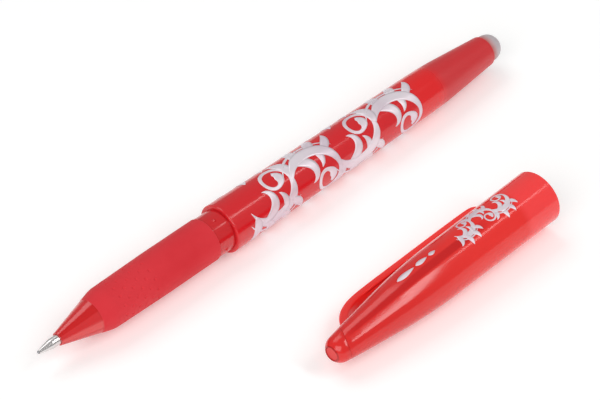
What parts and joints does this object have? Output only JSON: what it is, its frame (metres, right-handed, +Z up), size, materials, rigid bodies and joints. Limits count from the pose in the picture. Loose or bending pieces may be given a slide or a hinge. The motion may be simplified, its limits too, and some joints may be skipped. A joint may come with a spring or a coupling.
{
  "type": "fabric marking pen",
  "caption": "Ball-tip marking pen for fabric with a rubber grip, a stepped tapered barrel and an eraser dome, its clip cap off and lying beside it.",
  "frame": {"origin": "middle of the bottom face of the box round the pen and its cap, on the surface they lie on", "axes": "+X from the writing tip to the eraser, +Z up, the cap on the -Y side"},
  "size_m": [0.142, 0.0546, 0.013],
  "materials": {
    "red_clear_plastic": "glossy translucent moulded plastic",
    "cap_plastic": "glossy translucent moulded plastic",
    "red_rubber": "matte moulded rubber",
    "grey_rubber": "satin translucent rubber",
    "nickel_silver": "turned",
    "ball_steel": "polished",
    "spring_steel": "drawn wire",
    "white_plastic": "moulded",
    "natural_plastic": "extruded, clear",
    "red_ink": "liquid",
    "clear_grease": "clear grease",
    "cap_liner_plastic": "moulded",
    "seal_rubber": "soft moulded",
    "silver_foil": "hot-stamped pearl foil"
  },
  "bodies": {
    "pen_front": {"front_section": "red_clear_plastic", "grip_sleeve": "red_rubber"},
    "barrel": {"barrel": "red_clear_plastic", "eraser_tip": "grey_rubber"},
    "refill": {"refill_tube": "natural_plastic", "tip_holder": "white_plastic", "metal_tip": "nickel_silver", "tip_spring": "spring_steel", "ink_column": "red_ink", "refill_tail_plug": "white_plastic"},
    "tip_ball": {"tip_ball": "ball_steel"},
    "ink_follower": {"ink_follower": "clear_grease"},
    "cap": {"cap_shell": "cap_plastic", "cap_crown": "cap_plastic", "inner_cap": "cap_liner_plastic", "nib_seal": "seal_rubber"},
    "cap_clip": {"cap_clip": "cap_plastic"}
  },
  "joints": [
    {"name": "barrel_slide", "type": "slide", "parent": "pen_front", "child": "barrel", "axis": [1, 0, 0], "range_m": [0, 0.13]},
    {"name": "refill_slide", "type": "slide", "parent": "pen_front", "child": "refill", "axis": [1, 0, 0], "range_m": [0, 0.065]},
    {"name": "ball_roll", "type": "hinge", "parent": "refill", "child": "tip_ball", "pos_m": [-0.07065, 0.02159, 0.00572], "axis": [0, 1, 0], "continuous": true},
    {"name": "follower_slide", "type": "slide", "parent": "refill", "child": "ink_follower", "axis": [-1, 0, 0], "range_m": [0, 0.058], "deforming": ["ink_column"]},
    {"name": "cap_slide", "type": "slide", "parent": "pen_front", "child": "cap", "axis": [-0.9565, 0.2917, 0], "range_m": [0, 0.1464]},
    {"name": "clip_flex", "type": "hinge", "parent": "cap", "child": "cap_clip", "pos_m": [-0.01862, -0.01453, 0.00304], "axis": [-0.0246, 0.342, 0.9394], "range_deg": [0, 3], "stiffness_Nm_per_rad": 0.3, "springref_deg": -1.15}
  ],
  "couplings": [
    {"joint": "refill_slide", "follows": "barrel_slide", "ratio": 0.5}
  ]
}
